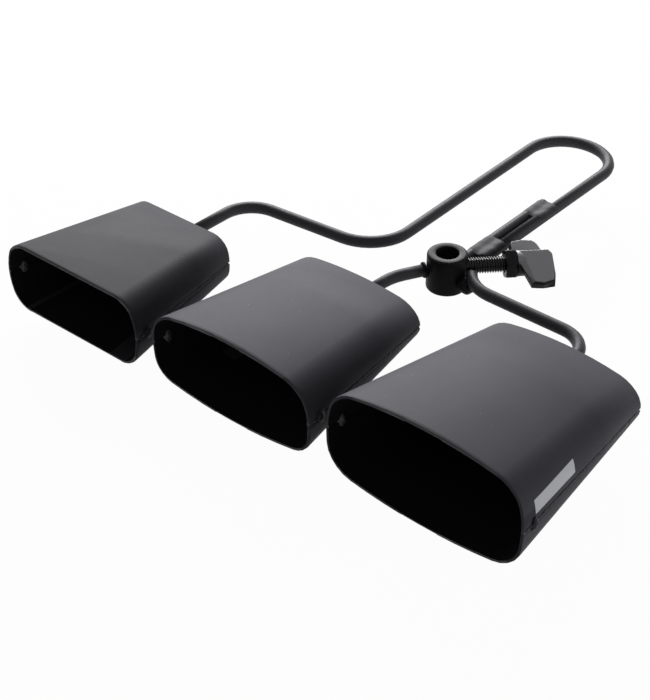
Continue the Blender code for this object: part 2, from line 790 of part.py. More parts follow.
def wing_head(frame):
    """Cast head: a stepped hub with two ears, set on the end of the shank."""
    hub_face = NUT_FACE + NUT_THICKNESS + CLEARANCE
    flange = HUB_DIAMETER / 2
    neck = HUB_NECK_DIAMETER / 2
    profile = [
        (0.0, HUB_LENGTH),
        (neck - HUB_EDGE, HUB_LENGTH),
        (neck, HUB_LENGTH - HUB_EDGE),
        (neck, HUB_FLANGE + HUB_EDGE),
        (flange, HUB_FLANGE - HUB_EDGE),
        (flange, HUB_EDGE),
        (flange - HUB_EDGE, 0.0),
        (0.0, 0.0),
    ]
    obj = along_bolt(turned("wing_head", profile, SMALL_STEPS, parent=frame), hub_face)
    boolean(obj, ear("near_ear", NEAR_EAR, 1.0, frame), "UNION")
    boolean(obj, ear("far_ear", FAR_EAR, -1.0, frame), "UNION")
    axis = bolt_direction()
    level = Vector((0, 0, BOLT_LEVEL))
    socket = cylinder_cutter("socket", THREAD_R + CLEARANCE, axis * (hub_face - 0.002) + level,
                             axis * (hub_face + SOCKET_DEPTH) + level, SMALL_STEPS)
    boolean(obj, socket)
    return finish(obj, BLACK_COAT, 0.35, 0.1)


def build_bells():
    """The three bells, each of two shells, a crown plate and its welds."""
    for bell in (SMALL_BELL, MIDDLE_BELL, LARGE_BELL):
        frame = bell_frame(bell)
        bell_shell(bell, "upper", frame)
        bell_shell(bell, "lower", frame)
        crown_plate(bell, frame)
        seam_weld(bell, "left", frame)
        seam_weld(bell, "right", frame)
        rod_weld(bell, frame)


def build_frame(cut_boss, cut_bolt):
    """The rods, the boss and the welds between them."""
    finish(tube("long_rod", long_rod_path(), ROD_R))
    large_path = large_rod_path()
    large_rod = as_mesh(tube("large_bell_rod", large_path, ROD_R))
    boolean(large_rod, cut_boss)
    finish(large_rod)
    middle_path = middle_rod_path()
    finish(tube("middle_bell_rod", middle_path, ROD_R))
    brace = brace_path()
    finish(tube("brace_rod", brace, ROD_R))
    boss(cut_bolt)

    middle_end = middle_path[-1]
    ahead = (middle_path[-1] - middle_path[-2]).normalized()
    inside = middle_end + ahead * 2 * ROD_DIAMETER
    behind = middle_end - ahead * ROD_DIAMETER
    cut_middle = cylinder_cutter("middle_rod_clearance", ROD_R + CLEARANCE, (*behind, 0), (*inside, 0),
                                 SMALL_STEPS)
    lump = ROD_DIAMETER + 2 * (CLEARANCE + BOSS_WELD_LEG)
    collar = (lump, 2 * BOSS_WELD_REACH, lump)
    weld_lump("middle_rod_boss_weld", (*middle_end, 0), collar, (cut_boss, cut_middle),
              -math.radians(MIDDLE_HEADING))

    cut_brace = cylinder_cutter("brace_clearance", ROD_R + CLEARANCE, (brace[0].x, 0, 0),
                                (brace[0].x, 3 * BOSS_R, 0), SMALL_STEPS)
    weld_lump("brace_rod_boss_weld", (*brace[0], 0), collar, (cut_boss, cut_brace, cut_bolt))

    start = large_path[0] + (large_path[0] - large_path[1]).normalized() * ROD_DIAMETER
    cut_large = hide_cutter(as_mesh(tube("large_rod_clearance", [start] + large_path, ROD_R + CLEARANCE,
                                         CUTTERS)))
    angle = math.radians(BOLT_ANGLE - FLANK_ANGLE - FLANK_WELD_ANGLE)
    reach = BOSS_R + ROD_R
    place = (reach * math.cos(angle), reach * math.sin(angle), -FLANK_WELD_DROP)
    weld_lump("large_rod_boss_weld", place, FLANK_WELD_SIZE, (cut_boss, cut_large, cut_bolt), angle)

    foot = bolt_shadow_y(RIGHT_LEG_X + ROD_R)
    brace_weld("brace_front_weld", foot, FRONT_WELD_END_Y)
    brace_weld("brace_rear_weld", BRACE_END_Y - REAR_WELD_LENGTH, BRACE_END_Y)


def build_wing_bolt():
    """The wing bolt and its lock nut."""
    frame = bolt_frame()
    threaded_shank(frame)
    lock_nut(frame)
    wing_head(frame)


build_bells()
build_frame(boss_cutter(), bolt_cutter())
build_wing_bolt()
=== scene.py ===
# %% [markdown]
# # Triple cowbell
#
# Three welded steel bells hang on bent round rod, and a clamp boss with a wing bolt holds the rod on a stand.
# Everything on the real one is steel or cast metal under a satin black coat, so this lesson is about edges,
# welds and one dark finish in several grades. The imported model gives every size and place. Each piece here
# starts from it and adds what a plain solid lacks: rounded lips, lumpy welds, a real thread, a soft casting.

import json
import math

import bmesh
import bpy
from mathutils import Euler, Matrix, Vector, noise
from mathutils.bvhtree import BVHTree

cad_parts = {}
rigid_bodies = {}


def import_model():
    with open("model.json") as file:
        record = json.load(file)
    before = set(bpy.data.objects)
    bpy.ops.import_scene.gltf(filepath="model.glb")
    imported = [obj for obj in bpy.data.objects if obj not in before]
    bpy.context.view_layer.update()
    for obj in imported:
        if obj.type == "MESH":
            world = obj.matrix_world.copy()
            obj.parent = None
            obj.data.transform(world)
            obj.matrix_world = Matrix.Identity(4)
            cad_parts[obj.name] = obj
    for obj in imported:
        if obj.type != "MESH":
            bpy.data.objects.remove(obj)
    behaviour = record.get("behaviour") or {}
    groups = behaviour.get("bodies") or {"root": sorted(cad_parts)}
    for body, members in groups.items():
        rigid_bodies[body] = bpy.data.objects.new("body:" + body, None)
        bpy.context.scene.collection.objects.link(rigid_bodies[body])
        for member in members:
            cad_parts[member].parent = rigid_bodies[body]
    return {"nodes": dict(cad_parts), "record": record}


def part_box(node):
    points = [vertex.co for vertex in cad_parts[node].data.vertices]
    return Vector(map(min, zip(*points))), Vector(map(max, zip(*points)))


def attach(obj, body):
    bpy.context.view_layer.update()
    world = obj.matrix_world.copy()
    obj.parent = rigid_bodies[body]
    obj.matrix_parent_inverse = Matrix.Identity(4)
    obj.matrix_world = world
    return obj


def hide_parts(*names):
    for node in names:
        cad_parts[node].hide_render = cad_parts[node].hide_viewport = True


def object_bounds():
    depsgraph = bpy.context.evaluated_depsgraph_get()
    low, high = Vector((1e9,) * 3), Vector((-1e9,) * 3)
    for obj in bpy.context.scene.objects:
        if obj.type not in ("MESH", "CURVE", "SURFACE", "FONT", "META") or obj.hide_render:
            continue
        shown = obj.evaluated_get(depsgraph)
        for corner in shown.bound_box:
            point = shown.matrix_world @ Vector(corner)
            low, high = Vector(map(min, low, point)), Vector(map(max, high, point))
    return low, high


MM_PER_METRE = 1000

for leftover in list(bpy.data.objects):
    bpy.data.objects.remove(leftover, do_unlink=True)

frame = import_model()
cad_low, cad_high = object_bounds()
print("CAD box in mm:", [round(side * MM_PER_METRE, 1) for side in cad_high - cad_low])

# %% [markdown]
# ## Camera
#
# The photograph was taken from the front right, about 36 degrees above the bells. A long lens keeps the
# sides of the bells nearly parallel, and where the edges meet gives its focal length and its distance from
# the boss. The sensor's 36 mm span the long side of the picture, which is upright here.

# %% Camera
CAMERA_PLACE = Vector((0.3668, -0.5337, 0.4195))
CAMERA_AZIMUTH = 39.607
CAMERA_DOWN = 35.898
CAMERA_ROLL = 0.193
CAMERA_LENS = 83.25


def photograph_camera():
    """The camera that took the photograph."""
    data = bpy.data.cameras.new("photograph")
    data.sensor_width = 36.0
    data.lens = CAMERA_LENS
    data.clip_start = 0.01
    camera = bpy.data.objects.new("photograph", data)
    bpy.context.scene.collection.objects.link(camera)
    aim = Euler((math.radians(90.0 - CAMERA_DOWN), 0.0, math.radians(CAMERA_AZIMUTH)), "XYZ")
    roll = Matrix.Rotation(math.radians(CAMERA_ROLL), 4, "Z")
    camera.matrix_world = Matrix.Translation(CAMERA_PLACE) @ aim.to_matrix().to_4x4() @ roll
    bpy.context.scene.camera = camera
    return camera


camera = photograph_camera()
print("camera is", round(camera.location.length, 3), "m from the boss")

# %% [markdown]
# ## Floor, backdrop and lamps
#
# Black metal is drawn by what it reflects. The main soft lamp stands behind the bells on the left, where the
# flat tops mirror it to the camera: they come out mid grey, and the corner that rolls over to the right is
# the darkest band. A weak lamp on the right keeps the sides from going black. The floor and the world are
# white to the camera and in reflections, but lend little light of their own, so the inside of the bells
# stays dark, and its near-black coat adds painted shade. The floor still takes a soft shadow.

# %% Floor, backdrop and lamps
FLOOR_GAP = 0.0003
FLOOR_SIZE = 6.0
FLOOR_GREY = 0.8
FLOOR_GLOW = 0.97
WORLD_FILL = 0.12
KEY_WATTS = 32.0
SIDE_WATTS = 2.2


def background_rays(nodes, links):
    """A factor that is 1 for rays that look at the background: camera, glossy and transmission rays."""
    rays = nodes.new("ShaderNodeLightPath")
    first = nodes.new("ShaderNodeMath")
    first.operation = "MAXIMUM"
    links.new(rays.outputs["Is Camera Ray"], first.inputs[0])
    links.new(rays.outputs["Is Glossy Ray"], first.inputs[1])
    second = nodes.new("ShaderNodeMath")
    second.operation = "MAXIMUM"
    links.new(first.outputs[0], second.inputs[0])
    links.new(rays.outputs["Is Transmission Ray"], second.inputs[1])
    return second.outputs[0]


def studio_floor(height):
    """A wide pale floor that stays white in the picture and keeps a soft shadow."""
    bm = bmesh.new()
    bmesh.ops.create_grid(bm, x_segments=1, y_segments=1, size=FLOOR_SIZE / 2)
    bmesh.ops.translate(bm, vec=(0, 0, height), verts=bm.verts)
    mesh = bpy.data.meshes.new("studio_floor")
    bm.to_mesh(mesh)
    bm.free()
    floor = bpy.data.objects.new("studio_floor", mesh)
    bpy.context.scene.collection.objects.link(floor)
    paper = bpy.data.materials.new("white_paper")
    paper.use_nodes = True
    nodes, links = paper.node_tree.nodes, paper.node_tree.links
    matt = nodes["Principled BSDF"]
    matt.inputs["Base Color"].default_value = (FLOOR_GREY, FLOOR_GREY, FLOOR_GREY, 1.0)
    matt.inputs["Roughness"].default_value = 1.0
    matt.inputs["Specular IOR Level"].default_value = 0.0
    glow = nodes.new("ShaderNodeEmission")
    blend = nodes.new("ShaderNodeMixShader")
    share = nodes.new("ShaderNodeMath")
    share.operation = "MULTIPLY"
    share.inputs[1].default_value = FLOOR_GLOW
    links.new(background_rays(nodes, links), share.inputs[0])
    links.new(share.outputs[0], blend.inputs["Fac"])
    links.new(matt.outputs[0], blend.inputs[1])
    links.new(glow.outputs[0], blend.inputs[2])
    links.new(blend.outputs[0], nodes["Material Output"].inputs["Surface"])
    mesh.materials.append(paper)


def studio_world():
    """White behind the object and in its reflections, and dim as a light."""
    world = bpy.data.worlds.new("studio")
    bpy.context.scene.world = world
    world.use_nodes = True
    nodes, links = world.node_tree.nodes, world.node_tree.links
    fill = nodes["Background"]
    fill.inputs["Color"].default_value = (1.0, 1.0, 1.0, 1.0)
    fill.inputs["Strength"].default_value = WORLD_FILL
    white = nodes.new("ShaderNodeBackground")
    white.inputs["Color"].default_value = (1.0, 1.0, 1.0, 1.0)
    white.inputs["Strength"].default_value = 1.0
    blend = nodes.new("ShaderNodeMixShader")
    links.new(background_rays(nodes, links), blend.inputs["Fac"])
    links.new(fill.outputs[0], blend.inputs[1])
    links.new(white.outputs[0], blend.inputs[2])
    links.new(blend.outputs[0], nodes["World Output"].inputs["Surface"])


def softbox(name, place, target, width, height, power):
    """A rectangular lamp at a place, aimed at a target."""
    lamp = bpy.data.lights.new(name, "AREA")
    lamp.shape = "RECTANGLE"
    lamp.size = width
    lamp.size_y = height
    lamp.energy = power
    box = bpy.data.objects.new(name, lamp)
    bpy.context.scene.collection.objects.link(box)
    box.location = place
    box.rotation_euler = (Vector(target) - Vector(place)).to_track_quat("-Z", "Y").to_euler()


studio_floor(cad_low.z - FLOOR_GAP)
studio_world()
softbox("key_softbox", (-0.85, 0.86, 0.56), (0.0, -0.08, 0.0), 0.95, 0.45, KEY_WATTS)
softbox("side_softbox", (1.15, 0.25, 0.22), (0.05, -0.08, 0.0), 0.35, 0.35, SIDE_WATTS)
bpy.context.scene.view_settings.view_transform = "Standard"
print("floor at", round((cad_low.z - FLOOR_GAP) * MM_PER_METRE, 2), "mm")

# %% [markdown]
# ## Finishes
#
# One black powder coat covers the bells, the rods and the welds. It isn't one flat colour: it has the fine
# pebble of a baked coat, slow patches where the film is thicker, a few pinholes and pale dust. The recipe is
# a function, so that each kind of piece gets its own grade: the bells dry and greyish, the boss and the bolt
# darker and slicker. The small bell, which stands farthest from the camera and nearest to the lamp, takes a
# slightly darker copy of the bell coat, as painted shade against the stronger light that it gets. The faces
# inside the bells take a near-black painted shade, and the wing casting is painted mid grey as painted
# light on its flats. All the patterns read Object coordinates, which stay in metres.

# %% Finishes
FILM_PER_METRE = 38.0
FILM_CONTRAST = 0.06
FILM_BAND = (0.3, 0.7)
GRAIN_PER_METRE = 420.0
GRAIN_SPREAD = 0.03
PEBBLE_PER_METRE = 1500.0
PEBBLE_STRENGTH = 0.35
PEBBLE_HEIGHT = 0.00006
DUST_PER_METRE = 260.0
DUST_SIZE = 0.055
DUST_GAIN = 2.6
DUST_LIFT = 0.02
PITS_PER_METRE = 190.0
PIT_SIZE = 0.05
PIT_SHARE = 0.22
PIT_STRENGTH = 0.5
PIT_DEPTH = 0.00008


def noise_of(nodes, links, place, scale, detail=2.0):
    """A noise pattern on a place, with its features counted per metre."""
    pattern = nodes.new("ShaderNodeTexNoise")
    pattern.inputs["Scale"].default_value = scale
    pattern.inputs["Detail"].default_value = detail
    links.new(place, pattern.inputs["Vector"])
    return pattern.outputs["Fac"]


def ramp(nodes, links, factor, low, high, at=(0.0, 1.0)):
    """A colour that runs from low to high between two values of a factor."""
    band = nodes.new("ShaderNodeValToRGB")
    band.color_ramp.elements[0].position = at[0]
    band.color_ramp.elements[1].position = at[1]
    band.color_ramp.elements[0].color = (*low, 1.0)
    band.color_ramp.elements[1].color = (*high, 1.0)
    links.new(factor, band.inputs["Fac"])
    return band.outputs["Color"]


def span(nodes, links, factor, low, high):
    """A number that runs from low to high with a factor."""
    scale = nodes.new("ShaderNodeMapRange")
    scale.inputs["To Min"].default_value = low
    scale.inputs["To Max"].default_value = high
    links.new(factor, scale.inputs["Value"])
    return scale.outputs["Result"]


def specks(nodes, links, place, per_metre, size, share):
    """Small round dots: 1 inside a dot, 0 outside. Share leaves out some of the cells."""
    cells = nodes.new("ShaderNodeTexVoronoi")
    cells.inputs["Scale"].default_value = per_metre
    links.new(place, cells.inputs["Vector"])
    near = nodes.new("ShaderNodeMath")
    near.operation = "LESS_THAN"
    near.inputs[1].default_value = size
    links.new(cells.outputs["Distance"], near.inputs[0])
    pick = nodes.new("ShaderNodeSeparateColor")
    links.new(cells.outputs["Color"], pick.inputs[0])
    some = nodes.new("ShaderNodeMath")
    some.operation = "LESS_THAN"
    some.inputs[1].default_value = share
    links.new(pick.outputs[0], some.inputs[0])
    both = nodes.new("ShaderNodeMath")
    both.operation = "MULTIPLY"
    links.new(near.outputs[0], both.inputs[0])
    links.new(some.outputs[0], both.inputs[1])
    return both.outputs[0]


def black_coat(name, grey, roughness, gloss, pebble=1.0, dust=0.0, metallic=0.0):
    """Baked black coat: patches of film, a fine pebble, pinholes and dust."""
    coat = bpy.data.materials.new(name)
    coat.use_nodes = True
    nodes, links = coat.node_tree.nodes, coat.node_tree.links
    shader = nodes["Principled BSDF"]
    shader.inputs["Metallic"].default_value = metallic
    shader.inputs["Specular IOR Level"].default_value = gloss
    place = nodes.new("ShaderNodeTexCoord").outputs["Object"]
    patches = noise_of(nodes, links, place, FILM_PER_METRE, detail=4.0)
    dark = tuple((1.0 - FILM_CONTRAST) * channel for channel in grey)
    light = tuple((1.0 + FILM_CONTRAST) * channel for channel in grey)
    colour = ramp(nodes, links, patches, dark, light, FILM_BAND)
    if dust:
        pale = tuple(min(1.0, DUST_GAIN * channel + DUST_LIFT) for channel in grey)
        dots = specks(nodes, links, place, DUST_PER_METRE, DUST_SIZE, dust)
        blend = nodes.new("ShaderNodeMix")
        blend.data_type = "RGBA"
        links.new(dots, blend.inputs["Factor"])
        links.new(colour, blend.inputs["A"])
        blend.inputs["B"].default_value = (*pale, 1.0)
        colour = blend.outputs["Result"]
    links.new(colour, shader.inputs["Base Color"])
    grain = noise_of(nodes, links, place, GRAIN_PER_METRE, detail=3.0)
    sheen = span(nodes, links, grain, roughness - GRAIN_SPREAD, roughness + GRAIN_SPREAD)
    links.new(sheen, shader.inputs["Roughness"])
    skin = noise_of(nodes, links, place, PEBBLE_PER_METRE)
    bump = nodes.new("ShaderNodeBump")
    bump.inputs["Strength"].default_value = PEBBLE_STRENGTH * pebble
    bump.inputs["Distance"].default_value = PEBBLE_HEIGHT
    links.new(skin, bump.inputs["Height"])
    pits = specks(nodes, links, place, PITS_PER_METRE, PIT_SIZE, PIT_SHARE)
    dent = nodes.new("ShaderNodeBump")
    dent.invert = True
    dent.inputs["Strength"].default_value = PIT_STRENGTH
    dent.inputs["Distance"].default_value = PIT_DEPTH
    links.new(pits, dent.inputs["Height"])
    links.new(bump.outputs["Normal"], dent.inputs["Normal"])
    links.new(dent.outputs["Normal"], shader.inputs["Normal"])
    return coat


BELL_COAT = black_coat("bell_powder_coat", (0.070, 0.068, 0.079), 0.55, 0.045, dust=0.3)
# A darker copy of the bell coat: painted shade for the small bell, which gets more of the lamp.
SMALL_BELL_SHADED_COAT = black_coat("small_bell_painted_shade_coat", (0.050, 0.049, 0.056), 0.55, 0.036, dust=0.3)
# Near-black painted shade for the faces that look into the bells.
INSIDE_SHADE_COAT = black_coat("bell_inside_painted_shade", (0.0160, 0.0160, 0.0165), 0.85, 0.02)
LIP_COAT = black_coat("bell_lip", (0.070, 0.070, 0.078), 0.42, 0.15)
SEAM_COAT = black_coat("seam_weld_coat", (0.046, 0.045, 0.052), 0.45, 0.05, pebble=2.0)
ROD_COAT = black_coat("rod_powder_coat", (0.066, 0.065, 0.073), 0.46, 0.07, pebble=1.4)
BRACE_COAT = black_coat("brace_weld_coat", (0.072, 0.071, 0.079), 0.5, 0.04, pebble=2.0)
BOSS_COAT = black_coat("boss_coat", (0.009, 0.009, 0.010), 0.42, 0.05)
THREAD_STEEL = black_coat("blackened_thread", (0.007, 0.007, 0.008), 0.28, 0.34, metallic=0.10)
NUT_COAT = black_coat("nut_coat", (0.004, 0.004, 0.005), 0.18, 0.10, pebble=6.0)
TACK_COAT = black_coat("tack_bead_coat", (0.075, 0.074, 0.082), 0.38, 0.18, pebble=3.0)
# The wing head is black cast metal; this coat is painted mid grey as painted light on its flats.
LIT_CASTING_COAT = black_coat("wing_casting_painted_light", (0.330, 0.326, 0.350), 0.42, 0.60, pebble=1.5, dust=0.2)
print(len(bpy.data.materials), "materials")

# %% [markdown]
# ## Working from the frame
#
# A CAD node arrives as loose flat triangles. Its copy is merged first, and triangles that share a plane are
# dissolved, so that only real edges are left. Those edges can then be bevelled, and the rest shaded smooth.
# The copy rides on the node's body and stands for the node.

# %% Working from the frame
MERGE = 0.000002
FLAT_ANGLE = math.radians(0.6)
SHARP_ANGLE = math.radians(38.0)
QUAD_ANGLE = math.radians(14.0)
NODE_BODY = {}
for body_name, members in frame["record"]["behaviour"]["bodies"].items():
    for member in members:
        NODE_BODY[member] = body_name


def merged_copy(node):
    """A CAD node's mesh with its loose triangles merged."""
    bm = bmesh.new()
    bm.from_mesh(frame["nodes"][node].data)
    bmesh.ops.remove_doubles(bm, verts=bm.verts, dist=MERGE)
    return bm


def cad_copy(node):
    """A merged copy with its flat faces made whole."""
    bm = merged_copy(node)
    bmesh.ops.dissolve_limit(bm, angle_limit=FLAT_ANGLE, verts=bm.verts, edges=bm.edges)
    return bm


def quad_copy(node):
    """A merged copy with its pairs of triangles joined to the quads that they came from."""
    bm = merged_copy(node)
    bmesh.ops.join_triangles(bm, faces=bm.faces, angle_face_threshold=QUAD_ANGLE,
                             angle_shape_threshold=math.pi)
    return bm


def round_edges(bm, edges, width, segments=2):
    """Rounds some edges in a few steps."""
    bmesh.ops.bevel(bm, geom=edges, offset=width, offset_type="OFFSET", segments=segments, profile=0.5,
                    affect="EDGES", material=-1, clamp_overlap=True)


def soften_edges(bm, width, angle=SHARP_ANGLE):
    """Rounds the edges that turn more than an angle."""
    edges = [edge for edge in bm.edges if edge.is_manifold and edge.calc_face_angle(0.0) > angle]
    round_edges(bm, edges, width)


def place_piece(name, bm, node, *coats, also=()):
    """Makes the finished piece: smooth between its sharp edges, riding with the node that it stands for."""
    mesh = bpy.data.meshes.new(name)
    bm.to_mesh(mesh)
    bm.free()
    for coat in coats:
        mesh.materials.append(coat)
    mesh.shade_smooth()
    mesh.set_sharp_from_angle(angle=SHARP_ANGLE)
    piece = bpy.data.objects.new(name, mesh)
    bpy.context.scene.collection.objects.link(piece)
    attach(piece, NODE_BODY[node])
    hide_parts(node, *also)
    return piece


def through_modifier(bm, kind, **settings):
    """Runs a bmesh through one modifier and gives back the result."""
    mesh = bpy.data.meshes.new("working")
    bm.to_mesh(mesh)
    bm.free()
    working = bpy.data.objects.new("working", mesh)
    bpy.context.scene.collection.objects.link(working)
    modifier = working.modifiers.new(kind.lower(), kind)
    for setting, value in settings.items():
        setattr(modifier, setting, value)
    evaluated = working.evaluated_get(bpy.context.evaluated_depsgraph_get())
    result = bmesh.new()
    result.from_mesh(bpy.data.meshes.new_from_object(evaluated))
    bpy.data.objects.remove(working, do_unlink=True)
    return result


# %% [markdown]
# ## Bells
#
# Each bell is two pressed half shells of 1.2 mm sheet, flat lengthwise and round in section. Sheet never ends
# in a knife edge, so the lip is rounded, and its last two millimetres roll in a little, which draws the
# darker band along the mouth. The edges along the side seams stay nearly square, because they meet there.
# The faces that look into the bell take a near-black painted shade, and the sheet's end face a slicker coat.

# %% Bells
BELLS = ("small_bell", "middle_bell", "large_bell")
# The small bell takes the painted-shade copy of the bell coat.
BELL_COATS = {"small_bell": SMALL_BELL_SHADED_COAT, "middle_bell": BELL_COAT, "large_bell": BELL_COAT}
LIP_ROLL_LENGTH = 0.0020
LIP_ROLL = 0.00042
LIP_CUTS = 4
LIP_SLACK = 10 * MERGE
LIP_ROUND = 0.00040
LIP_ROUND_STEPS = 3
SEAM_ROUND = 0.00006
SEAM_ROUND_STEPS = 1
END_FACING = 0.8
INSIDE_FACING = -0.6
LIP_FACING = -0.3


def bell_axis(bell):
    """Middle of the mouth and direction from it to the crown."""
    upper_low, upper_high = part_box(f"{bell}_upper_shell")
    lower_low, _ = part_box(f"{bell}_lower_shell")
    plate_low, plate_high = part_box(f"{bell}_crown_plate")
    mouth = (upper_low + upper_high) / 2
    mouth.y = (upper_low.y + lower_low.y) / 2
    mouth.z = (upper_high.z + lower_low.z) / 2
    crown = (plate_low + plate_high) / 2
    return mouth, (crown - mouth).normalized()


def from_axis(point, mouth, axis):
    """The part of a point's offset from the mouth's middle that is square to the bell's axis."""
    offset = point - mouth
    return offset - axis * offset.dot(axis)


def end_plane(bm, facing):
    """A point on the sheet's outermost end face that looks along a direction, and that face's normal."""
    ends = [face for face in bm.faces if face.normal.dot(facing) > END_FACING]
    normal = sum((face.normal * face.calc_area() for face in ends), Vector()).normalized()
    point = max((face.calc_center_median() for face in ends), key=lambda centre: centre.dot(normal))
    return point, normal


def bell_shell(bell, half):
    """One half shell with a rolled, rounded lip."""
    node = f"{bell}_{half}_shell"
    mouth, axis = bell_axis(bell)
    bm = quad_copy(node)
    lip, outward = end_plane(bm, -axis)
    inward = -outward
    for cut in range(1, LIP_CUTS + 1):
        depth = LIP_ROLL_LENGTH * cut / LIP_CUTS
        bmesh.ops.bisect_plane(bm, geom=bm.verts[:] + bm.edges[:] + bm.faces[:],
                               plane_co=lip + inward * depth, plane_no=inward)
    bm.normal_update()
    lips = []
    seams = []
    for edge in bm.edges:
        if not edge.is_manifold or edge.calc_face_angle(0.0) < SHARP_ANGLE:
            continue
        at_lip = all((vert.co - lip).dot(inward) < LIP_SLACK for vert in edge.verts)
        (lips if at_lip else seams).append(edge)
    for vert in bm.verts:
        left = LIP_ROLL_LENGTH - (vert.co - lip).dot(inward)
        if left > MERGE:
            side = from_axis(vert.co, mouth, axis).normalized()
            vert.co -= side * LIP_ROLL * (left / LIP_ROLL_LENGTH) ** 2
    round_edges(bm, lips, LIP_ROUND, LIP_ROUND_STEPS)
    round_edges(bm, [edge for edge in seams if edge.is_valid], SEAM_ROUND, SEAM_ROUND_STEPS)
    bm.normal_update()
    for face in bm.faces:
        centre = face.calc_center_median()
        side = from_axis(centre, mouth, axis).normalized()
        # Faces that look into the bell take the near-black painted shade of the inside.
        if face.normal.dot(side) < INSIDE_FACING:
            face.material_index = 1
        elif (centre - lip).dot(inward) < LIP_ROUND and face.normal.dot(inward) < LIP_FACING:
            face.material_index = 2
    return place_piece(f"{bell}_{half}_sheet", bm, node, BELL_COATS[bell], INSIDE_SHADE_COAT, LIP_COAT)


for bell in BELLS:
    for half in ("upper", "lower"):
        sheet = bell_shell(bell, half)
        print(sheet.name, len(sheet.data.polygons), "faces")

# %% [markdown]
# ## Crown plates
#
# A flat plate closes each crown inside the shells. Its rim was sheared and then ground before welding, so it
# gets a small round edge.

# %% Crown plates
PLATE_ROUND = 0.0003

for bell in BELLS:
    node = f"{bell}_crown_plate"
    plate = cad_copy(node)
    soften_edges(plate, PLATE_ROUND)
    piece = place_piece(f"{bell}_crown", plate, node, BELL_COAT)
    print(piece.name, len(piece.data.polygons), "faces")

# %% [markdown]
# ## Welds
#
# Weld metal is never a clean solid: it wets both pieces and freezes in ripples. Each CAD weld is remeshed
# into an even skin of small faces, swollen until it bites into its neighbours, and pushed in and out by a
# noise that is read at each point.

# %% Welds
ROD_BEAD = dict(voxel=0.0003, swell=0.0006, ripple=0.0004, grain=0.0018)
BOSS_BEADS = {
    "middle_rod_boss_weld": dict(swell=0.00005, ripple=0.0002, evening=24),
    "brace_rod_boss_weld": dict(swell=0.0007, ripple=0.0005),
    "large_rod_boss_weld": dict(swell=0.0007, ripple=0.0005),
}
BOSS_BEAD_VOXEL = 0.00028
BOSS_BEAD_GRAIN = 0.002


def even_out(bm, times=1):
    """Moves each point halfway towards the middle of its neighbours."""
    for _ in range(times):
        bmesh.ops.smooth_vert(bm, verts=bm.verts, factor=0.5, use_axis_x=True, use_axis_y=True,
                              use_axis_z=True)


def weld_metal(node, name, coat, voxel, swell, ripple, grain, evening=6):
    """Lumpy weld made from a CAD weld: evened out, swollen along its normals and rippled."""
    bm = through_modifier(cad_copy(node), "REMESH", mode="VOXEL", voxel_size=voxel)
    even_out(bm, evening)
    bm.normal_update()
    moves = []
    for vert in bm.verts:
        moves.append(vert.normal * (swell + ripple * noise.noise(vert.co / grain)))
    for vert, move in zip(bm.verts, moves):
        vert.co += move
    even_out(bm)
    return place_piece(name, bm, node, coat)


for bell in BELLS:
    weld = weld_metal(f"{bell}_rod_weld", f"{bell}_rod_bead", ROD_COAT, **ROD_BEAD)
    print(weld.name, len(weld.data.polygons), "faces")

for node, shape in BOSS_BEADS.items():
    weld = weld_metal(node, node.replace("_weld", "_bead"), BOSS_COAT, voxel=BOSS_BEAD_VOXEL,
                      grain=BOSS_BEAD_GRAIN, **shape)
    print(weld.name, len(weld.data.polygons), "faces")

# %% [markdown]
# The long welds along the bells' sides are thin and were ground flush with the lip and the crown. A CAD weld
# stops short of both, so it is drawn out at each end, thinned there and cut off level with the sheet. Near
# the mouth the welder set a tack, a small lump on both sides of the sheet. Inside the bell it takes a paler
# coat, because the lump catches what little light gets in.

# %% Seam welds
SEAM_VOXEL = 0.0002
SEAM_SINK = 0.0001
SEAM_RIPPLE = 0.0003
SEAM_GRAIN = 0.0013
SEAM_FILL = 0.00042
SEAM_DRAW = 0.0016
SEAM_END = 0.0002
SEAM_SETBACK = 0.0006
SEAM_TAPER = 0.0026
SEAM_THIN = 0.25
SEAM_INSIDE_FACING = -0.5
TACK_REACH = (0.0050, 0.0098)


def mean_place(places):
    """Middle of some points."""
    return sum(places, Vector()) / len(places)


def draw_out(bm, direction, length):
    """Moves the end of a bead that lies farthest along a direction."""
    far = max(vert.co.dot(direction) for vert in bm.verts)
    for vert in bm.verts:
        if vert.co.dot(direction) > far - SEAM_END:
            vert.co += direction * length


def cut_flush(bm, point, normal):
    """Cuts a mesh off at a plane and closes the cut."""
    cut = bmesh.ops.bisect_plane(bm, geom=bm.verts[:] + bm.edges[:] + bm.faces[:], plane_co=point,
                                 plane_no=normal, clear_outer=True)
    rim = [item for item in cut["geom_cut"] if isinstance(item, bmesh.types.BMEdge)]
    bmesh.ops.edgeloop_fill(bm, edges=rim)


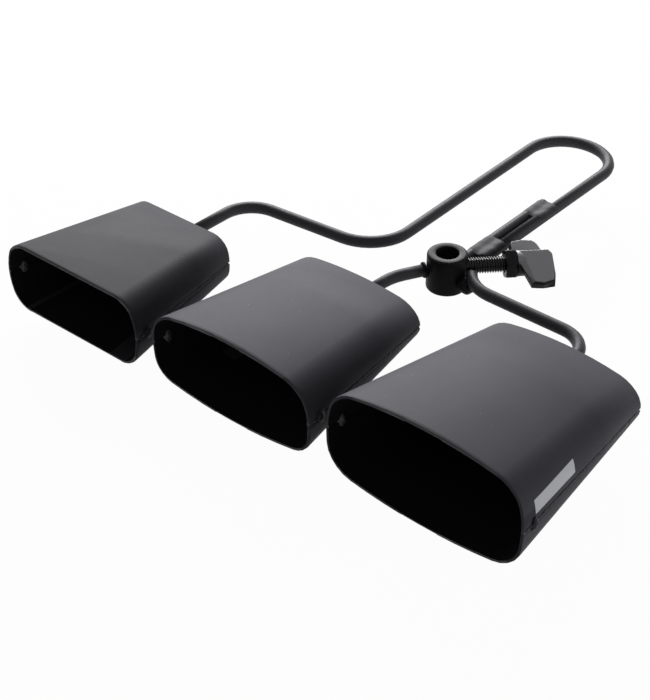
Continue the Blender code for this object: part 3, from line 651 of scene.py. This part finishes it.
def seam_weld(bell, side):
    """Bead along one side of a bell, from the lip to the crown and flush with both."""
    node = f"{bell}_{side}_seam_weld"
    mouth, axis = bell_axis(bell)
    bead = cad_copy(node)
    reaches = [vert.co.dot(axis) for vert in bead.verts]
    nearest, farthest = min(reaches), max(reaches)
    front = mean_place([vert.co for vert in bead.verts if vert.co.dot(axis) < nearest + SEAM_END])
    back = mean_place([vert.co for vert in bead.verts if vert.co.dot(axis) > farthest - SEAM_END])
    run = (back - front).normalized()
    across = run.cross(Vector((0.0, 0.0, 1.0))).normalized()
    lip = front - run * SEAM_SETBACK
    crown = back + run * SEAM_SETBACK
    draw_out(bead, -run, SEAM_DRAW)
    draw_out(bead, run, SEAM_DRAW)
    bm = through_modifier(bead, "REMESH", mode="VOXEL", voxel_size=SEAM_VOXEL)
    even_out(bm)
    bm.normal_update()
    moves = []
    for vert in bm.verts:
        push = SEAM_RIPPLE * noise.noise(vert.co / SEAM_GRAIN) - SEAM_SINK
        moves.append(vert.normal * push + Vector((0.0, 0.0, vert.normal.z * SEAM_FILL)))
    for vert, move in zip(bm.verts, moves):
        vert.co += move
        depth = min((vert.co - lip).dot(run), (crown - vert.co).dot(run))
        thin = SEAM_THIN * min(1.0, max(0.0, 1.0 - depth / SEAM_TAPER))
        vert.co -= across * (vert.co - front).dot(across) * thin
    even_out(bm)
    cut_flush(bm, lip, -run)
    cut_flush(bm, crown, run)
    bm.normal_update()
    for face in bm.faces:
        centre = face.calc_center_median()
        depth = (centre - lip).dot(run)
        towards = face.normal.dot(from_axis(centre, mouth, axis).normalized())
        if TACK_REACH[0] < depth < TACK_REACH[1] and towards < 0.0:
            face.material_index = 1
        # Other faces that look into the bell take the inside's painted shade.
        elif towards < SEAM_INSIDE_FACING:
            face.material_index = 2
        elif depth < LIP_ROUND:
            face.material_index = 3
    return place_piece(f"{bell}_{side}_seam", bm, node, SEAM_COAT, TACK_COAT, INSIDE_SHADE_COAT, LIP_COAT)


for bell in BELLS:
    for side in ("left", "right"):
        weld = seam_weld(bell, side)
        print(weld.name, len(weld.data.polygons), "faces")

# %% [markdown]
# The two welds between the brace rod and the leg are flat on top: the welder filled the valley and ran over
# both rods until they read as one bar. Their section is drawn as an outline that climbs over one rod, sags
# across the valley and climbs over the other. It is extruded along the rods in short steps, and each point
# is then lifted or sunk by the noise.

# %% Welds of the brace
ROD_RADIUS = 0.003
ROD_SPACING = 0.0065
LEG_X = 0.0077
LEG_LEAN = 0.0011 / 0.1468
BAND_STEPS = 60
BAND_LIFT = 0.00014
BAND_LUMP = 0.00018
BAND_GRAIN = 0.0042
BAND_TAPER = 0.0030
BAND_SINK = 1.6
BAND_CLIMB = (150, 136, 122, 108, 95, 84)
BAND_FOOT = 0.4 * ROD_RADIUS
BAND_SHOULDER = 0.5 * ROD_RADIUS
VALLEY_DROP = 0.00035
VALLEY_REACH = 2.4
VALLEY_POINTS = (-2, -1, 0, 1, 2)


def closed_outline(bm, places):
    """The edges of a closed outline through some places."""
    verts = [bm.verts.new(place) for place in places]
    return [bm.edges.new(pair) for pair in zip(verts, verts[1:] + verts[:1])]


def band_outline():
    """Section of a band weld: points (across, up) from the middle between the rods."""
    reach = ROD_RADIUS + BAND_LIFT
    half = ROD_SPACING / 2
    over = [math.radians(angle) for angle in BAND_CLIMB]
    left = [(-half + reach * math.cos(angle), reach * math.sin(angle)) for angle in over]
    valley = []
    for across in VALLEY_POINTS:
        sag = VALLEY_DROP * (1.0 - abs(across) / VALLEY_REACH)
        valley.append((across * half / 3, reach - sag))
    right = [(-across, up) for across, up in reversed(left)]
    under = [(half, BAND_FOOT), (-half, BAND_FOOT)]
    return left + valley + right + under


def band_weld(node, name, coat):
    """Flat, lumpy weld over the brace rod and the leg."""
    low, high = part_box(node)
    bm = bmesh.new()
    ring = closed_outline(bm, [(across, low.y, up) for across, up in band_outline()])
    caps = [list(ring)]
    step = Vector((0.0, (high.y - low.y) / BAND_STEPS, 0.0))
    for _ in range(BAND_STEPS):
        grown = bmesh.ops.extrude_edge_only(bm, edges=ring)["geom"]
        ring = [item for item in grown if isinstance(item, bmesh.types.BMEdge)
                and all(vert in grown for vert in item.verts)]
        moved = [item for item in grown if isinstance(item, bmesh.types.BMVert)]
        bmesh.ops.translate(bm, verts=moved, vec=step)
    caps.append(ring)
    for rim in caps:
        bmesh.ops.edgeloop_fill(bm, edges=rim)
    bmesh.ops.recalc_face_normals(bm, faces=bm.faces)
    for vert in bm.verts:
        y = vert.co.y
        if vert.co.z > BAND_SHOULDER:
            near_end = min(y - low.y, high.y - y)
            sink = max(0.0, 1.0 - near_end / BAND_TAPER) ** 2
            lump = noise.noise(Vector((vert.co.x, y, 0.0)) / BAND_GRAIN)
            vert.co.z += BAND_LUMP * lump - (BAND_LIFT + BAND_LUMP) * BAND_SINK * sink
        vert.co.x += LEG_X + LEG_LEAN * y - ROD_SPACING / 2
    return place_piece(name, bm, node, coat)


for node in ("brace_front_weld", "brace_rear_weld"):
    weld = band_weld(node, node.replace("_weld", "_band"), BRACE_COAT)
    print(weld.name, len(weld.data.polygons), "faces")

# %% [markdown]
# ## Bent rods
#
# The rods are 6 mm bar, bent cold and coated. The CAD rods are already fine enough along their bends, so
# their triangles are only joined back to quads and shaded smooth.

# %% Bent rods
def round_rod(node, name):
    """Round bar made from a CAD rod."""
    return place_piece(name, quad_copy(node), node, ROD_COAT)


for node in ("long_rod", "large_bell_rod", "middle_bell_rod", "brace_rod"):
    rod = round_rod(node, node.replace("_rod", "_bar"))
    print(rod.name, len(rod.data.polygons), "faces")

# %% [markdown]
# ## Clamp boss
#
# The boss is a turned ring with a plain bore. Its profile is drawn once at +X and spun in seventy-two steps,
# and the bolt's hole is then cut through one wall. The edges that a lathe breaks are drawn as short slopes
# and bevelled round.

# %% Clamp boss
BOSS_STEPS = 72
BOSS_EDGE = 0.0013
BORE_RADIUS = 0.0055
BORE_EDGE = 0.0006
BOLT_ANGLE = math.radians(45.5)
BOLT_LEVEL = 0.0015
BOLT_RADIUS = 0.004
BOLT_CLEARANCE = 0.0003
BOLT_AXIS = Vector((math.cos(BOLT_ANGLE), math.sin(BOLT_ANGLE), 0.0))
HOLE_REACH = (0.5, 1.5)
HOLE_STEPS = 32


def lathe(points, steps):
    """Spins a closed profile of (radius, height) points about Z."""
    bm = bmesh.new()
    closed_outline(bm, [(radius, 0.0, height) for radius, height in points])
    bmesh.ops.spin(bm, geom=bm.verts[:] + bm.edges[:], cent=(0, 0, 0), axis=(0, 0, 1), angle=math.tau,
                   steps=steps, use_merge=True)
    bmesh.ops.remove_doubles(bm, verts=bm.verts, dist=MERGE)
    bmesh.ops.recalc_face_normals(bm, faces=bm.faces)
    return bm


def round_corner(corner, edge, towards_x, towards_z, steps=4):
    """Points of a quarter round at a corner, from the side that runs along X to the one along Z."""
    centre = (corner[0] + towards_x * edge, corner[1] + towards_z * edge)
    points = []
    for step in range(steps + 1):
        angle = math.pi / 2 * step / steps
        points.append((centre[0] - towards_x * edge * math.sin(angle),
                       centre[1] - towards_z * edge * math.cos(angle)))
    return points


def cut_round_hole(bm, start, end, radius):
    """Cuts a round hole from one point to another."""
    drill = bmesh.new()
    bmesh.ops.create_cone(drill, cap_ends=True, segments=HOLE_STEPS, radius1=radius, radius2=radius,
                          depth=(end - start).length)
    turn = (end - start).to_track_quat("Z", "Y").to_matrix().to_4x4()
    bmesh.ops.transform(drill, matrix=Matrix.Translation((start + end) / 2) @ turn, verts=drill.verts)
    mesh = bpy.data.meshes.new("drill")
    drill.to_mesh(mesh)
    drill.free()
    cutter = bpy.data.objects.new("drill", mesh)
    bpy.context.scene.collection.objects.link(cutter)
    result = through_modifier(bm, "BOOLEAN", operation="DIFFERENCE", object=cutter)
    bpy.data.objects.remove(cutter, do_unlink=True)
    return result


_, boss_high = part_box("mounting_boss")
boss_radius = boss_high.x
boss_top = boss_high.z
profile = (round_corner((boss_radius, boss_top), BOSS_EDGE, -1, -1)
           + round_corner((boss_radius, -boss_top), BOSS_EDGE, -1, 1)[::-1]
           + round_corner((BORE_RADIUS, -boss_top), BORE_EDGE, 1, 1, 2)
           + round_corner((BORE_RADIUS, boss_top), BORE_EDGE, 1, -1, 2)[::-1])
hole_level = Vector((0.0, 0.0, BOLT_LEVEL))
ring = cut_round_hole(lathe(profile, BOSS_STEPS), BOLT_AXIS * BORE_RADIUS * HOLE_REACH[0] + hole_level,
                      BOLT_AXIS * boss_radius * HOLE_REACH[1] + hole_level,
                      BOLT_RADIUS + BOLT_CLEARANCE / 2)
boss = place_piece("clamp_boss", ring, "mounting_boss", BOSS_COAT)
print(boss.name, len(boss.data.polygons), "faces")

# %% [markdown]
# ## Wing bolt
#
# The shank is a true M8 screw: a helix of 1.25 mm pitch. Its outline has a flat crest and a flat root, and is
# spun with a small rise at each step. The plane cuts at both ends trim it to the length of the CAD shank, and
# the open ends are filled.

# %% Thread
PITCH = 0.00125
THREAD_MERGE = PITCH / 60
THREAD_DEPTH = 0.0007
THREAD_STEPS = 32
TURNS_BELOW = 2
SPARE_TURNS = 3
CREST = 0.14
ROOT = 0.20


def bolt_matrix():
    """Turns Z onto the bolt's axis, with the origin on the bore's axis."""
    level = Matrix.Translation((0, 0, BOLT_LEVEL))
    return level @ Matrix.Rotation(BOLT_ANGLE, 4, "Z") @ Matrix.Rotation(math.pi / 2, 4, "Y")


def reach_along_bolt(node):
    """Nearest and farthest distance of a node along the bolt's axis."""
    reaches = [vert.co.dot(BOLT_AXIS) for vert in frame["nodes"][node].data.vertices]
    return min(reaches), max(reaches)


def bolt_thread():
    """The threaded shank."""
    start, end = reach_along_bolt("threaded_shank")
    root = BOLT_RADIUS - THREAD_DEPTH
    turns = math.ceil((end - start) / PITCH) + SPARE_TURNS
    outline = [(BOLT_RADIUS, 0.0), (BOLT_RADIUS, CREST), (root, 0.5 - ROOT / 2 + CREST / 2),
               (root, 0.5 + ROOT / 2 + CREST / 2), (BOLT_RADIUS, 1.0)]
    bm = bmesh.new()
    low = start - TURNS_BELOW * PITCH
    verts = [bm.verts.new((radius, 0.0, low + rise * PITCH)) for radius, rise in outline]
    edges = [bm.edges.new(pair) for pair in zip(verts, verts[1:])]
    bmesh.ops.spin(bm, geom=verts + edges, cent=(0, 0, 0), axis=(0, 0, 1), angle=math.tau * turns,
                   dvec=(0, 0, PITCH / THREAD_STEPS), steps=THREAD_STEPS * turns)
    bmesh.ops.remove_doubles(bm, verts=bm.verts, dist=THREAD_MERGE)
    cut_flush(bm, (0, 0, start), (0, 0, -1))
    cut_flush(bm, (0, 0, end), (0, 0, 1))
    bmesh.ops.recalc_face_normals(bm, faces=bm.faces)
    bmesh.ops.transform(bm, matrix=bolt_matrix(), verts=bm.verts)
    return place_piece("bolt_thread", bm, "threaded_shank", THREAD_STEEL)


thread = bolt_thread()
print(thread.name, len(thread.data.polygons), "faces")

# %% [markdown]
# The lock nut is a hexagon with both faces chamfered by the CAD, so it only needs its edges broken. The wing
# head is a casting. Each ear has a flat, a slanted facet round it and a steep rim, so it is drawn as three
# outlines at three levels and bridged. Sand casting leaves a soft fillet wherever two forms meet: the hub
# and the ears are remeshed into one skin and evened out, and the hole for the shank is then cut. How far
# the skin turns away from the flats is stored at each point, and painted shade darkens the coat with it
# towards the rim and over the near ear.

# %% Nut and wing head
NUT_ROUND = 0.00022
NUT_GAP = 0.0003
NUT_ANGLE = math.radians(25.0)
CASTING_VOXEL = 0.00020
CASTING_EVENING = 3
HUB_STEPS = 48
HUB_RADII = (0.0064, 0.0056)
HUB_LENGTH = 0.0108
SOCKET_DEPTH = 0.0080
# Painted shade: how far the skin has turned from the flats, and the share of the colour that is left there.
# The near ear starts at NEAR_SHADE, painted shade that makes its flats darker than those of the far ear.
RIM_SHADE_BANDS = ((0.0, 1.0), (0.12, 0.66), (0.20, 0.60), (0.34, 0.03))
RIM_GLOSS = 0.12
EAR_SLOPE = 24.0
EAR_RISE = 0.0047
EAR_LEVEL = -0.0005
NEAR_SHADE = 0.12
NEAR_BLEND = 0.004
NEAR_START = 0.75

# Outlines of an ear at three levels, as (along, out) in mm: its flat, the foot of the facet and its back.
NEAR_EAR = (
    (0.0023, ((2.9, -1.4), (15.1, -1.3), (16.6, 0.8), (16.3, 11.7), (15.2, 15.7), (10.4, 17.0), (6.4, 16.0),
              (4.7, 8.0), (3.6, 2.6))),
    (0.0012, ((0.1, -1.6), (15.5, -1.7), (17.1, 0.6), (16.9, 12.0), (16.1, 16.2), (10.6, 17.9), (4.7, 16.9),
              (1.9, 8.6), (0.1, 2.8))),
    (-0.0019, ((0.3, -1.7), (15.4, -1.7), (17.0, 0.6), (17.2, 13.0), (16.2, 17.4), (10.5, 18.0), (4.9, 17.4),
               (2.2, 9.2), (0.2, 2.4))),
)
FAR_EAR = (
    (0.0023, ((1.0, -1.0), (14.4, -1.0), (14.5, 9.2), (12.4, 14.2), (11.3, 15.6), (9.8, 16.5), (5.4, 16.9),
              (0.7, 16.2), (0.0, 14.8), (0.0, 11.4), (1.0, 9.0))),
    (0.0014, ((0.5, -1.2), (14.9, -1.2), (15.0, 9.4), (12.8, 14.6), (11.6, 16.1), (10.0, 17.0), (5.4, 17.4),
              (0.3, 16.7), (-0.6, 15.0), (-0.7, 11.4), (0.5, 8.8))),
    (-0.0019, ((0.5, -1.2), (14.9, -1.2), (15.0, 9.4), (12.8, 14.6), (11.6, 16.1), (10.0, 17.0), (5.4, 17.4),
               (0.3, 16.7), (-0.6, 15.0), (-0.7, 11.4), (0.5, 8.8))),
)

nut = cad_copy("lock_nut")
soften_edges(nut, NUT_ROUND, NUT_ANGLE)
nut_piece = place_piece("wing_lock_nut", nut, "lock_nut", NUT_COAT)
print(nut_piece.name, len(nut_piece.data.polygons), "faces")


def ear_point(along, out, lift, side):
    """A point of an ear: along the bolt, out from the hub and up from the ear's middle plane."""
    slope = math.radians(EAR_SLOPE)
    across = -side * out * math.cos(slope) - lift * math.sin(slope)
    up = -side * out * math.sin(slope) + lift * math.cos(slope) + side * EAR_RISE + EAR_LEVEL
    return Vector((-up, across, along))


def ear(bm, side, layers):
    """One ear: outlines of equal count at three levels, joined by bands of quads and closed at both faces."""
    rings = []
    for lift, outline in layers:
        places = [ear_point(along / MM_PER_METRE, out / MM_PER_METRE, lift, side) for along, out in outline]
        rings.append(closed_outline(bm, places))
    for upper, lower in zip(rings, rings[1:]):
        bmesh.ops.bridge_loops(bm, edges=upper + lower)
    for ring in (rings[0], rings[-1]):
        bmesh.ops.edgeloop_fill(bm, edges=ring)


def cast_wing():
    """The wing head as a soft casting: a hub and two ears melted into one form."""
    bm = bmesh.new()
    bmesh.ops.create_cone(bm, cap_ends=True, segments=HUB_STEPS, radius1=HUB_RADII[0],
                          radius2=HUB_RADII[1], depth=HUB_LENGTH)
    bmesh.ops.translate(bm, vec=(0, 0, HUB_LENGTH / 2), verts=bm.verts)
    ear(bm, 1.0, NEAR_EAR)
    ear(bm, -1.0, FAR_EAR)
    bmesh.ops.recalc_face_normals(bm, faces=bm.faces)
    hub_face = NUT_GAP + reach_along_bolt("lock_nut")[1]
    bmesh.ops.transform(bm, matrix=bolt_matrix() @ Matrix.Translation((0, 0, hub_face)), verts=bm.verts)
    bm = through_modifier(bm, "REMESH", mode="VOXEL", voxel_size=CASTING_VOXEL)
    even_out(bm, CASTING_EVENING)
    level = Vector((0.0, 0.0, BOLT_LEVEL))
    bm = cut_round_hole(bm, BOLT_AXIS * (hub_face - SOCKET_DEPTH) + level,
                        BOLT_AXIS * (hub_face + SOCKET_DEPTH) + level, BOLT_RADIUS + BOLT_CLEARANCE)
    bm.normal_update()
    lifted = ear_point(0.0, 0.0, 1.0, 1.0) - ear_point(0.0, 0.0, 0.0, 1.0)
    flat = bolt_matrix().to_3x3() @ lifted.normalized()
    across = Vector((-BOLT_AXIS.y, BOLT_AXIS.x, 0.0))
    # Painted shade: the rim attribute darkens the coat on the near ear and where the skin turns from the
    # flats.
    rim = bm.verts.layers.float.new("rim")
    for vert in bm.verts:
        near = min(1.0, max(0.0, NEAR_START - vert.co.dot(across) / NEAR_BLEND))
        turned = 1.0 - abs(vert.normal.dot(flat))
        vert[rim] = min(1.0, turned + NEAR_SHADE * near)
    return place_piece("wing_casting", bm, "wing_head", LIT_CASTING_COAT)


def paint_rim_shade(coat):
    """Paints shade into a coat and dims its gloss where the casting turns away from its flats."""
    nodes, links = coat.node_tree.nodes, coat.node_tree.links
    shader = nodes["Principled BSDF"]
    turn = nodes.new("ShaderNodeAttribute")
    turn.attribute_name = "rim"
    band = nodes.new("ShaderNodeValToRGB")
    for element, (place, share) in zip(band.color_ramp.elements, RIM_SHADE_BANDS[::3]):
        element.position = place
        element.color = (share, share, share, 1.0)
    for place, share in RIM_SHADE_BANDS[1:3]:
        band.color_ramp.elements.new(place).color = (share, share, share, 1.0)
    links.new(turn.outputs["Fac"], band.inputs["Fac"])
    product = nodes.new("ShaderNodeMix")
    product.data_type = "RGBA"
    product.blend_type = "MULTIPLY"
    product.inputs["Factor"].default_value = 1.0
    colour = shader.inputs["Base Color"].links[0].from_socket
    links.new(colour, product.inputs["A"])
    links.new(band.outputs["Color"], product.inputs["B"])
    links.new(product.outputs["Result"], shader.inputs["Base Color"])
    gloss = nodes.new("ShaderNodeMapRange")
    gloss.inputs["From Min"].default_value = RIM_SHADE_BANDS[2][0]
    gloss.inputs["From Max"].default_value = RIM_SHADE_BANDS[3][0]
    gloss.inputs["To Min"].default_value = shader.inputs["Specular IOR Level"].default_value
    gloss.inputs["To Max"].default_value = RIM_GLOSS
    links.new(turn.outputs["Fac"], gloss.inputs["Value"])
    links.new(gloss.outputs["Result"], shader.inputs["Specular IOR Level"])


paint_rim_shade(LIT_CASTING_COAT)
wing = cast_wing()
print(wing.name, len(wing.data.polygons), "faces")

# %% [markdown]
# ## Label
#
# A small white paper label is stuck on the side of the large bell, near its mouth. It is left blank. The
# patch is a grid between its four corners. Each of its points is dropped onto the sheet along X and lifted
# off by the thickness of the paper.

# %% Label
LABEL_CORNERS = (Vector((0.13145, -0.12426, 0.01226)), Vector((0.12861, -0.09274, 0.01138)),
                 Vector((0.13031, -0.09250, 0.00516)), Vector((0.13265, -0.12398, 0.00581)))
LABEL_CELLS = (24, 6)
LABEL_LIFT = 0.00009
PAPER_THICK = LABEL_LIFT * 0.8
LABEL_DROP = 0.01
FIBRES_PER_METRE = 900.0


def label_paper():
    """White paper with faint fibres."""
    paper = bpy.data.materials.new("label_paper")
    paper.use_nodes = True
    nodes, links = paper.node_tree.nodes, paper.node_tree.links
    shader = nodes["Principled BSDF"]
    shader.inputs["Roughness"].default_value = 0.6
    shader.inputs["Specular IOR Level"].default_value = 0.2
    place = nodes.new("ShaderNodeTexCoord").outputs["Object"]
    fibres = noise_of(nodes, links, place, FIBRES_PER_METRE, detail=4.0)
    white = ramp(nodes, links, fibres, (0.72, 0.73, 0.76), (0.82, 0.83, 0.86))
    links.new(white, shader.inputs["Base Color"])
    return paper


def side_label():
    """Blank label on the large bell's right side."""
    sheet = bpy.data.objects["large_bell_upper_sheet"]
    tree = BVHTree.FromPolygons([vert.co for vert in sheet.data.vertices],
                                [face.vertices for face in sheet.data.polygons])
    bm = bmesh.new()
    bmesh.ops.create_grid(bm, x_segments=LABEL_CELLS[0], y_segments=LABEL_CELLS[1], size=0.5)
    near_top, far_top, far_bottom, near_bottom = LABEL_CORNERS
    for vert in bm.verts:
        along, down = vert.co.x + 0.5, 0.5 - vert.co.y
        top = near_top.lerp(far_top, along)
        bottom = near_bottom.lerp(far_bottom, along)
        spot = top.lerp(bottom, down) + Vector((LABEL_DROP, 0.0, 0.0))
        hit, normal, _, _ = tree.ray_cast(spot, Vector((-1.0, 0.0, 0.0)))
        vert.co = hit + normal * LABEL_LIFT
    bmesh.ops.solidify(bm, geom=bm.faces[:], thickness=PAPER_THICK)
    bmesh.ops.recalc_face_normals(bm, faces=bm.faces)
    mesh = bpy.data.meshes.new("side_label")
    bm.to_mesh(mesh)
    bm.free()
    mesh.materials.append(label_paper())
    label = bpy.data.objects.new("side_label", mesh)
    bpy.context.scene.collection.objects.link(label)
    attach(label, NODE_BODY["large_bell_upper_shell"])
    return label


label = side_label()
print(label.name, "is", round((LABEL_CORNERS[0] - LABEL_CORNERS[1]).length * MM_PER_METRE, 1), "mm long")
